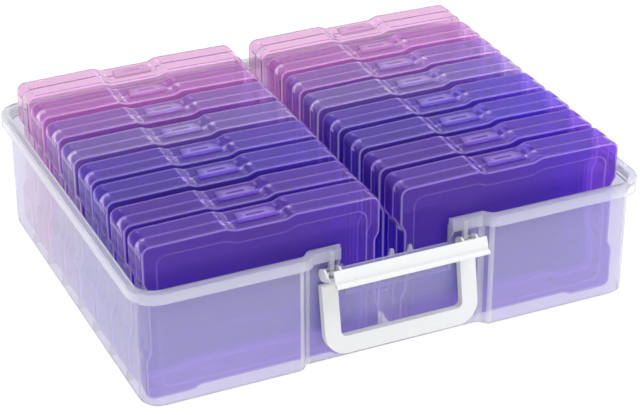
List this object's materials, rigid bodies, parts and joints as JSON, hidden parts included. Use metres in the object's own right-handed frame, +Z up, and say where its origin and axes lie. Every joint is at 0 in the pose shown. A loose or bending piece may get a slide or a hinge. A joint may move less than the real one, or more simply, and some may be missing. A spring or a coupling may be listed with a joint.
{
  "type": "photo keeper case",
  "caption": "Open clear carry tub holding two columns of slim snap-shut photo cases that lift out, with a swinging handle and a hooked latch flap on the front.",
  "frame": {"origin": "centre of the tub's underside", "axes": "+X to the right along the front, +Y to the back, +Z up"},
  "size_m": [0.3846, 0.3246, 0.1213],
  "materials": {
    "clear_tub": "frosted clear moulding",
    "white_plastic": "satin gloss",
    "deep_purple": "clear tinted gloss",
    "indigo": "clear tinted gloss",
    "periwinkle": "clear tinted gloss",
    "mauve": "clear tinted gloss",
    "pale_pink": "clear tinted gloss"
  },
  "bodies": {
    "tub": {"outer_tub": "clear_tub"},
    "handle": {"carry_handle": "white_plastic"},
    "latch": {"latch_bar": "white_plastic"},
    "case_left_1": {"case_tray_left_1": "deep_purple", "case_lid_left_1": "deep_purple"},
    "case_left_2": {"case_tray_left_2": "deep_purple", "case_lid_left_2": "deep_purple"},
    "case_left_3": {"case_tray_left_3": "indigo", "case_lid_left_3": "indigo"},
    "case_left_4": {"case_tray_left_4": "indigo", "case_lid_left_4": "indigo"},
    "case_left_5": {"case_tray_left_5": "periwinkle", "case_lid_left_5": "periwinkle"},
    "case_left_6": {"case_tray_left_6": "periwinkle", "case_lid_left_6": "periwinkle"},
    "case_left_7": {"case_tray_left_7": "mauve", "case_lid_left_7": "mauve"},
    "case_left_8": {"case_tray_left_8": "pale_pink", "case_lid_left_8": "pale_pink"},
    "case_right_1": {"case_tray_right_1": "deep_purple", "case_lid_right_1": "deep_purple"},
    "case_right_2": {"case_tray_right_2": "deep_purple", "case_lid_right_2": "deep_purple"},
    "case_right_3": {"case_tray_right_3": "indigo", "case_lid_right_3": "indigo"},
    "case_right_4": {"case_tray_right_4": "indigo", "case_lid_right_4": "indigo"},
    "case_right_5": {"case_tray_right_5": "periwinkle", "case_lid_right_5": "periwinkle"},
    "case_right_6": {"case_tray_right_6": "periwinkle", "case_lid_right_6": "periwinkle"},
    "case_right_7": {"case_tray_right_7": "mauve", "case_lid_right_7": "mauve"},
    "case_right_8": {"case_tray_right_8": "pale_pink", "case_lid_right_8": "pale_pink"}
  },
  "joints": [
    {"name": "handle_hinge", "type": "hinge", "parent": "tub", "child": "handle", "pos_m": [0, -0.1447, 0.0623], "axis": [-1, 0, 0], "range_deg": [-10, 80]},
    {"name": "latch_hinge", "type": "hinge", "parent": "tub", "child": "latch", "pos_m": [0, -0.1462, 0.0735], "axis": [1, 0, 0], "range_deg": [-65, 15]},
    {"name": "case_lift_left_1", "type": "slide", "parent": "tub", "child": "case_left_1", "axis": [0, 0, 1], "range_m": [0, 0.13]},
    {"name": "case_lift_left_2", "type": "slide", "parent": "tub", "child": "case_left_2", "axis": [0, 0, 1], "range_m": [0, 0.13]},
    {"name": "case_lift_left_3", "type": "slide", "parent": "tub", "child": "case_left_3", "axis": [0, 0, 1], "range_m": [0, 0.13]},
    {"name": "case_lift_left_4", "type": "slide", "parent": "tub", "child": "case_left_4", "axis": [0, 0, 1], "range_m": [0, 0.13]},
    {"name": "case_lift_left_5", "type": "slide", "parent": "tub", "child": "case_left_5", "axis": [0, 0, 1], "range_m": [0, 0.13]},
    {"name": "case_lift_left_6", "type": "slide", "parent": "tub", "child": "case_left_6", "axis": [0, 0, 1], "range_m": [0, 0.13]},
    {"name": "case_lift_left_7", "type": "slide", "parent": "tub", "child": "case_left_7", "axis": [0, 0, 1], "range_m": [0, 0.13]},
    {"name": "case_lift_left_8", "type": "slide", "parent": "tub", "child": "case_left_8", "axis": [0, 0, 1], "range_m": [0, 0.13]},
    {"name": "case_lift_right_1", "type": "slide", "parent": "tub", "child": "case_right_1", "axis": [0, 0, 1], "range_m": [0, 0.13]},
    {"name": "case_lift_right_2", "type": "slide", "parent": "tub", "child": "case_right_2", "axis": [0, 0, 1], "range_m": [0, 0.13]},
    {"name": "case_lift_right_3", "type": "slide", "parent": "tub", "child": "case_right_3", "axis": [0, 0, 1], "range_m": [0, 0.13]},
    {"name": "case_lift_right_4", "type": "slide", "parent": "tub", "child": "case_right_4", "axis": [0, 0, 1], "range_m": [0, 0.13]},
    {"name": "case_lift_right_5", "type": "slide", "parent": "tub", "child": "case_right_5", "axis": [0, 0, 1], "range_m": [0, 0.13]},
    {"name": "case_lift_right_6", "type": "slide", "parent": "tub", "child": "case_right_6", "axis": [0, 0, 1], "range_m": [0, 0.13]},
    {"name": "case_lift_right_7", "type": "slide", "parent": "tub", "child": "case_right_7", "axis": [0, 0, 1], "range_m": [0, 0.13]},
    {"name": "case_lift_right_8", "type": "slide", "parent": "tub", "child": "case_right_8", "axis": [0, 0, 1], "range_m": [0, 0.13]}
  ]
}
